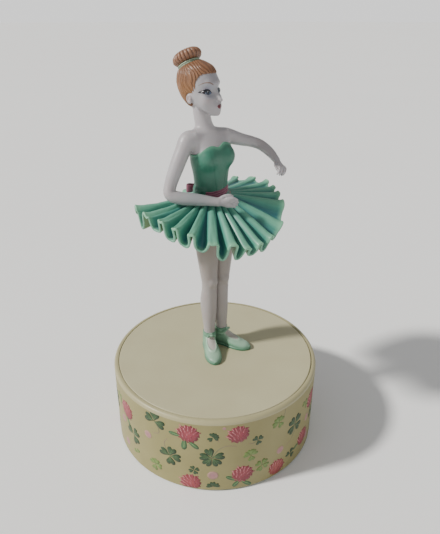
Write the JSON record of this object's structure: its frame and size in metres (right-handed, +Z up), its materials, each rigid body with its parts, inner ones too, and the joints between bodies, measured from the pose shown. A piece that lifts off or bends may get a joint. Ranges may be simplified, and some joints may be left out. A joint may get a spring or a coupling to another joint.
{
  "type": "musical jewellery box",
  "caption": "Round cream drum box with a clover print, a key-wound musical movement, a lined tray, and a lift-off turning top plate that carries a cast dancer.",
  "frame": {"origin": "centre of the drum at the level of the surface it stands on", "axes": "+Z up, -Y towards the dancer's front, +X towards the dancer's left"},
  "size_m": [0.11, 0.11, 0.1988],
  "materials": {
    "cream_shell": "satin",
    "print": "satin print",
    "felt_green": "felt",
    "cover": "matte",
    "steel": "plain",
    "spring_steel": "blued",
    "zinc": "as cast",
    "brass": "plain",
    "tray": "matte",
    "rose_felt": "flocked",
    "vane": "plain",
    "hub": "plain",
    "skin": "painted cast resin",
    "mint": "painted cast resin",
    "rose": "painted cast resin",
    "copper_hair": "painted cast resin"
  },
  "bodies": {
    "base": {"drum_shell": "cream_shell", "shelf_ring": "cover", "printed_wrap": "print", "felt_foot_ring": "felt_green", "bottom_cover": "cover", "cover_screws": "steel", "jewel_tray": "tray", "tray_felt": "rose_felt", "tray_screws": "steel", "bedplate": "zinc", "movement_screws": "steel", "cylinder_bracket": "brass", "governor_bracket": "brass", "tone_comb": "steel", "comb_screws": "steel", "ratchet_click": "steel"},
    "key": {"winding_key": "brass", "winding_arbor": "steel", "ratchet_wheel": "brass"},
    "barrel": {"spring_barrel": "brass", "mainspring": "spring_steel", "crown_wheel": "brass", "output_shaft": "steel"},
    "cylinder": {"pinned_cylinder": "brass", "cylinder_pins": "steel", "cylinder_arbor": "steel", "cylinder_pinion": "brass", "cylinder_gear": "brass"},
    "governor": {"governor_arbor": "steel", "governor_pinion": "brass", "worm_wheel": "brass"},
    "worm": {"governor_worm": "steel", "air_vane": "vane"},
    "dancer": {"turning_plate": "cream_shell", "drive_hub": "hub", "hub_screws": "steel", "foot_pins": "steel", "right_shoe": "mint", "left_shoe": "mint", "right_leg": "skin", "left_leg": "skin", "hips": "skin", "tutu": "mint", "bodice": "mint", "shoulders": "skin", "waist_sash": "rose", "back_bow": "rose", "right_arm": "skin", "right_hand": "skin", "left_arm": "skin", "left_hand": "skin", "head": "skin", "hair": "copper_hair", "hair_bun": "copper_hair", "hair_ribbon": "mint"}
  },
  "joints": [
    {"name": "key_wind", "type": "hinge", "parent": "base", "child": "key", "pos_m": [0, 0, 0.008], "axis": [0, 0, 1], "range_deg": [0, 1260]},
    {"name": "barrel_turn", "type": "hinge", "parent": "base", "child": "barrel", "pos_m": [0, 0, 0.022], "axis": [0, 0, 1], "continuous": true},
    {"name": "cylinder_turn", "type": "hinge", "parent": "base", "child": "cylinder", "pos_m": [0.025, 0, 0.029], "axis": [1, 0, 0], "continuous": true},
    {"name": "governor_turn", "type": "hinge", "parent": "base", "child": "governor", "pos_m": [0.0347, 0.009, 0.029], "axis": [1, 0, 0], "continuous": true},
    {"name": "worm_turn", "type": "hinge", "parent": "base", "child": "worm", "pos_m": [0.038, 0.0148, 0.029], "axis": [0, 0, 1], "continuous": true},
    {"name": "top_lift_off", "type": "slide", "parent": "barrel", "child": "dancer", "axis": [0, 0, 1], "range_m": [0, 0.06]}
  ],
  "couplings": [
    {"joint": "cylinder_turn", "follows": "barrel_turn", "ratio": 3.5},
    {"joint": "governor_turn", "follows": "barrel_turn", "ratio": -14},
    {"joint": "worm_turn", "follows": "barrel_turn", "ratio": 280}
  ]
}
